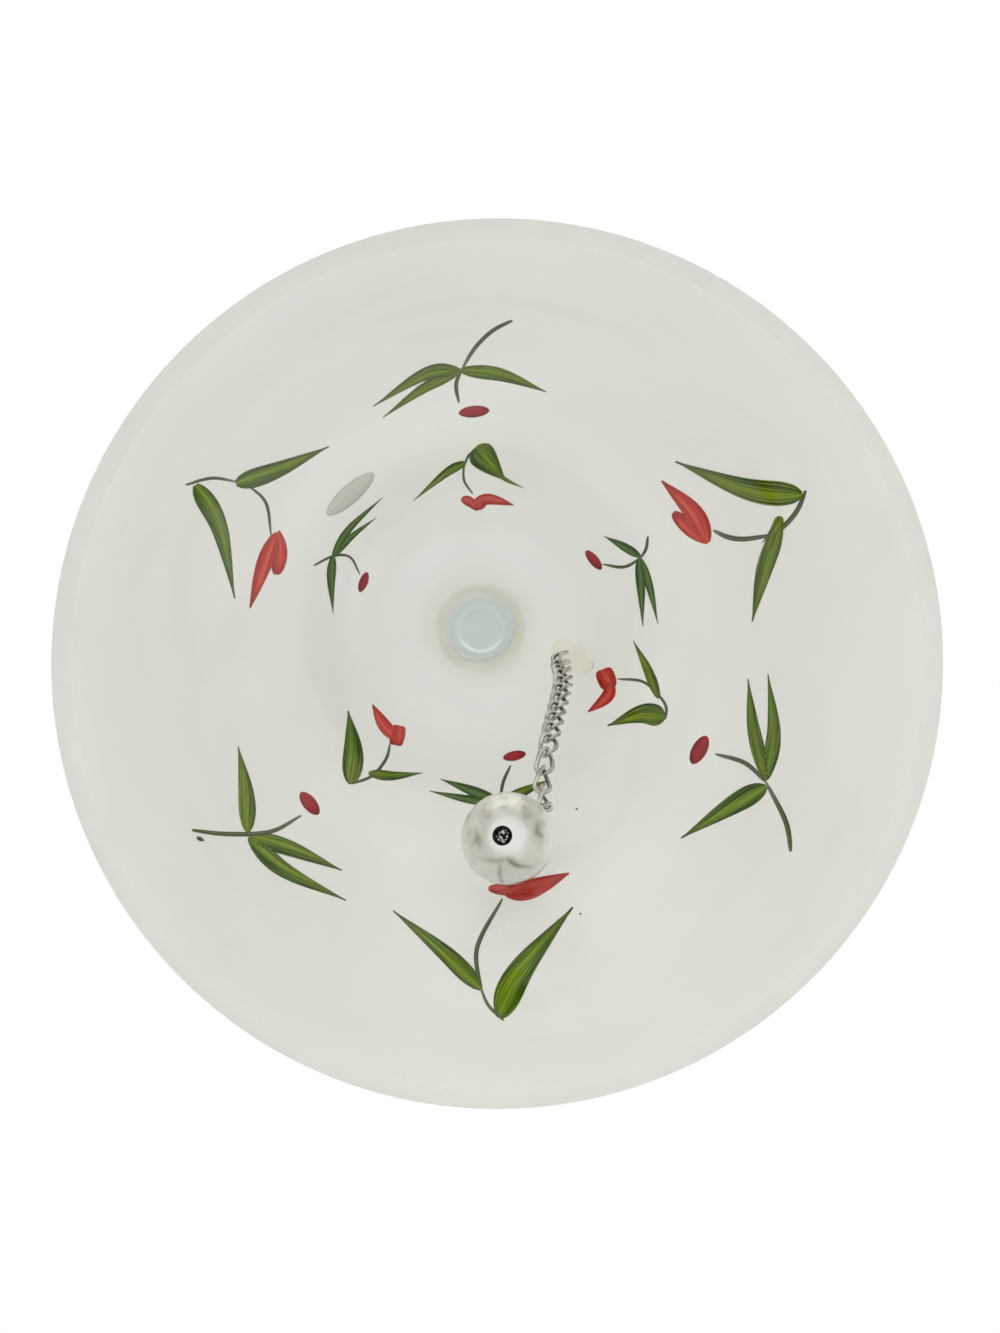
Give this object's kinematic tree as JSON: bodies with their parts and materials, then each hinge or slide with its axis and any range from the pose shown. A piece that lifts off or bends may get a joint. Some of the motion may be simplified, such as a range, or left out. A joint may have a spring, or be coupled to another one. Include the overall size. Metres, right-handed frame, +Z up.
{
  "type": "table bell",
  "caption": "Hand bell of thin glass, flared at the mouth, with a turned glass handle and a ball clapper that hangs inside on a fine chain.",
  "frame": {"origin": "on the bell's axis, in the plane of the ground rim it stands on", "axes": "+Z up along the axis, towards the handle's finial; +Y towards the side of the wall that the clapper lies against"},
  "size_m": [0.088, 0.088, 0.1462],
  "materials": {
    "bell_cup": "satin outside, glossy inside, fired enamel sprigs",
    "handle": "clear, fire polished",
    "adhesive_pad": "clear set adhesive, slightly yellowed",
    "chain": "bright silvered wire",
    "clapper_pin": "drawn wire with a peened end",
    "clapper_ball": "polished"
  },
  "bodies": {
    "bell": {"bell_cup": "bell_cup", "handle": "handle", "adhesive_pad": "adhesive_pad", "anchor_link": "chain"},
    "chain_link_01": {"chain_link_01": "chain"},
    "chain_link_02": {"chain_link_02": "chain"},
    "chain_link_03": {"chain_link_03": "chain"},
    "chain_link_04": {"chain_link_04": "chain"},
    "chain_link_05": {"chain_link_05": "chain"},
    "chain_link_06": {"chain_link_06": "chain"},
    "chain_link_07": {"chain_link_07": "chain"},
    "chain_link_08": {"chain_link_08": "chain"},
    "chain_link_09": {"chain_link_09": "chain"},
    "chain_link_10": {"chain_link_10": "chain"},
    "chain_link_11": {"chain_link_11": "chain"},
    "chain_link_12": {"chain_link_12": "chain"},
    "chain_link_13": {"chain_link_13": "chain"},
    "chain_link_14": {"chain_link_14": "chain"},
    "chain_link_15": {"chain_link_15": "chain"},
    "chain_link_16": {"chain_link_16": "chain"},
    "clapper_pin": {"clapper_pin": "clapper_pin"},
    "clapper_ball": {"clapper_ball": "clapper_ball"}
  },
  "joints": [
    {"name": "link_01_hinge", "type": "hinge", "parent": "bell", "child": "chain_link_01", "pos_m": [0.00915, 0.00373, 0.07224], "axis": [-0.996, -0.0854, -0.0277], "range_deg": [0, 15]},
    {"name": "link_02_hinge", "type": "hinge", "parent": "chain_link_01", "child": "chain_link_02", "pos_m": [0.00917, 0.00425, 0.07001], "axis": [0.9052, 0.4112, 0.1069], "range_deg": [-12, 0]},
    {"name": "link_03_hinge", "type": "hinge", "parent": "chain_link_02", "child": "chain_link_03", "pos_m": [0.00921, 0.00475, 0.06776], "axis": [-0.7047, -0.6877, -0.1745], "range_deg": [0, 12]},
    {"name": "link_04_hinge", "type": "hinge", "parent": "chain_link_03", "child": "chain_link_04", "pos_m": [0.00916, 0.00537, 0.06555], "axis": [0.7091, -0.675, -0.2039], "range_deg": [-12, 0]},
    {"name": "link_05_hinge", "type": "hinge", "parent": "chain_link_04", "child": "chain_link_05", "pos_m": [0.00897, 0.00615, 0.06339], "axis": [-0.7027, -0.6869, -0.1853], "range_deg": [0, 12]},
    {"name": "link_06_hinge", "type": "hinge", "parent": "chain_link_05", "child": "chain_link_06", "pos_m": [0.00867, 0.00702, 0.06129], "axis": [0.6997, -0.6201, -0.3549], "range_deg": [-12, 0]},
    {"name": "link_07_hinge", "type": "hinge", "parent": "chain_link_06", "child": "chain_link_07", "pos_m": [0.00833, 0.00794, 0.05921], "axis": [-0.7039, -0.6834, -0.1937], "range_deg": [0, 12]},
    {"name": "link_08_hinge", "type": "hinge", "parent": "chain_link_07", "child": "chain_link_08", "pos_m": [0.00796, 0.0089, 0.05715], "axis": [0.6918, -0.5976, -0.4055], "range_deg": [-12, 0]},
    {"name": "link_09_hinge", "type": "hinge", "parent": "chain_link_08", "child": "chain_link_09", "pos_m": [0.00757, 0.00994, 0.05513], "axis": [-0.7139, -0.6554, -0.2466], "range_deg": [0, 12]},
    {"name": "link_10_hinge", "type": "hinge", "parent": "chain_link_09", "child": "chain_link_10", "pos_m": [0.00718, 0.01109, 0.05318], "axis": [0.6797, -0.5639, -0.4691], "range_deg": [-12, 0]},
    {"name": "link_11_hinge", "type": "hinge", "parent": "chain_link_10", "child": "chain_link_11", "pos_m": [0.00678, 0.01259, 0.0515], "axis": [-0.6558, 0.479, 0.5835], "range_deg": [0, 12]},
    {"name": "link_12_hinge", "type": "hinge", "parent": "chain_link_11", "child": "chain_link_12", "pos_m": [0.00635, 0.01452, 0.05034], "axis": [0.8622, -0.1054, -0.4955], "range_deg": [-12, 0]},
    {"name": "link_13_hinge", "type": "hinge", "parent": "chain_link_12", "child": "chain_link_13", "pos_m": [0.00617, 0.01653, 0.04927], "axis": [-0.9904, -0.0144, 0.1376], "range_deg": [0, 12]},
    {"name": "link_14_hinge", "type": "hinge", "parent": "chain_link_13", "child": "chain_link_14", "pos_m": [0.00644, 0.01828, 0.04806], "axis": [0.6844, -0.3808, -0.6218], "range_deg": [-12, 0]},
    {"name": "link_15_hinge", "type": "hinge", "parent": "chain_link_14", "child": "chain_link_15", "pos_m": [0.00546, 0.01938, 0.0463], "axis": [-0.6795, 0.3742, 0.631], "range_deg": [0, 12]},
    {"name": "link_16_hinge", "type": "hinge", "parent": "chain_link_15", "child": "chain_link_16", "pos_m": [0.00436, 0.02036, 0.04453], "axis": [0.6801, -0.3746, -0.6302], "range_deg": [-12, 0]},
    {"name": "pin_hinge", "type": "hinge", "parent": "chain_link_16", "child": "clapper_pin", "pos_m": [0.00327, 0.02136, 0.04277], "axis": [0.8223, 0.5286, -0.2108], "range_deg": [-20, 5]},
    {"name": "ball_spin", "type": "hinge", "parent": "clapper_pin", "child": "clapper_ball", "pos_m": [0.00195, 0.02063, 0.0357], "axis": [0.146, 0.1621, 0.9759], "continuous": true}
  ]
}
